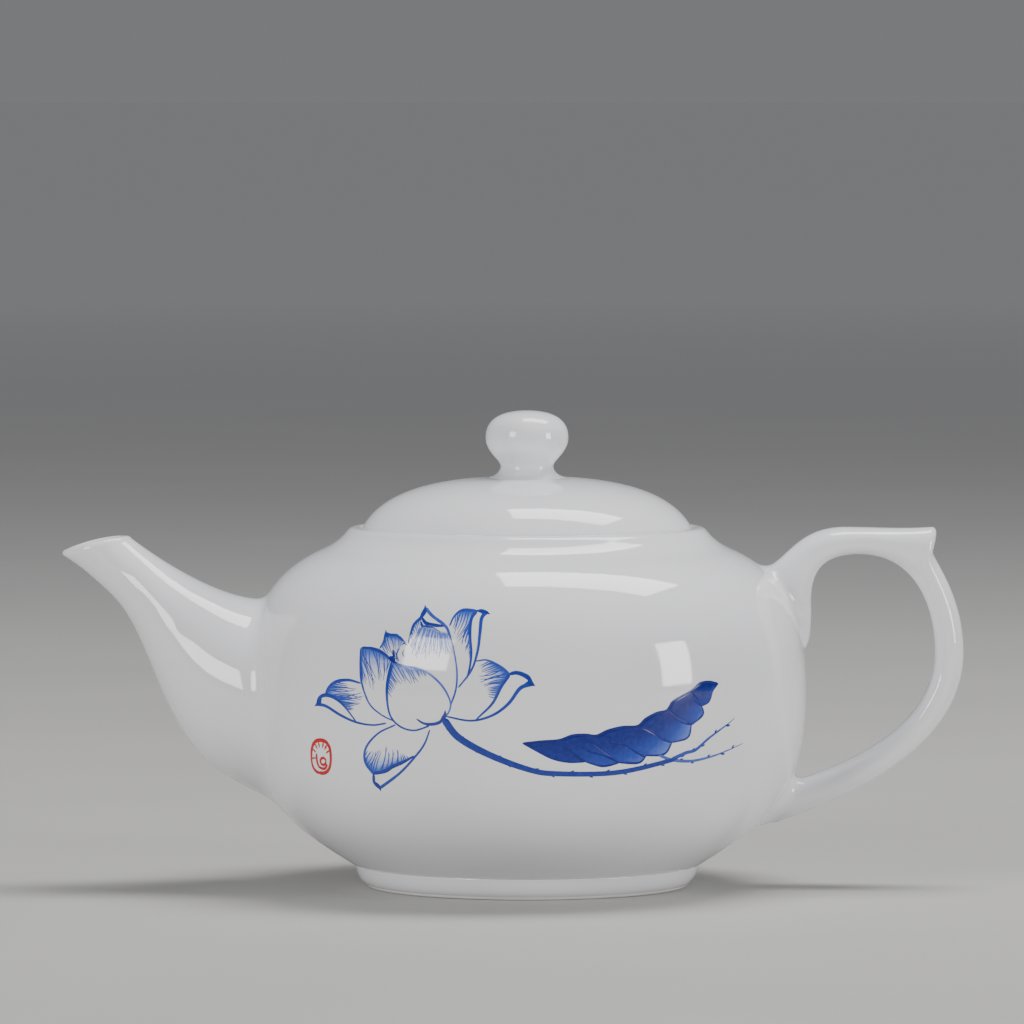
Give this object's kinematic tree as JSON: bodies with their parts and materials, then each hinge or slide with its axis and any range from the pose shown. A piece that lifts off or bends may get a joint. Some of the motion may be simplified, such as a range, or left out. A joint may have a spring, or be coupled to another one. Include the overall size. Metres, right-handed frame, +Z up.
{
  "type": "porcelain teapot",
  "caption": "Small white porcelain teapot with a lift-off domed lid, S-shaped spout, ear-shaped handle and a printed blue lotus.",
  "frame": {"origin": "on the pot's axis, in the plane that the foot ring stands on", "axes": "+X towards the handle, -X towards the spout, -Y out of the decorated side, +Z up"},
  "size_m": [0.1501, 0.093, 0.0793],
  "materials": {
    "porcelain": "glossy clear glaze on cool white porcelain",
    "foot_porcelain": "glossy glaze with a bare, matt ring where it stands",
    "cobalt_print": "in-glaze cobalt blue, glossy",
    "red_print": "on-glaze iron red, glossy"
  },
  "bodies": {
    "pot": {"pot_body": "porcelain", "foot_ring": "foot_porcelain", "spout": "porcelain", "spout_strainer": "porcelain", "handle": "porcelain", "lotus_transfer": "cobalt_print", "stem_transfer": "cobalt_print", "leaf_transfer": "cobalt_print", "seal_transfer": "red_print"},
    "lid": {"lid_dome": "porcelain", "lid_flange": "porcelain", "lid_knob": "porcelain"}
  },
  "joints": [
    {"name": "lid_lift", "type": "slide", "parent": "pot", "child": "lid", "axis": [0, 0, 1], "range_m": [0, 0.05]}
  ]
}
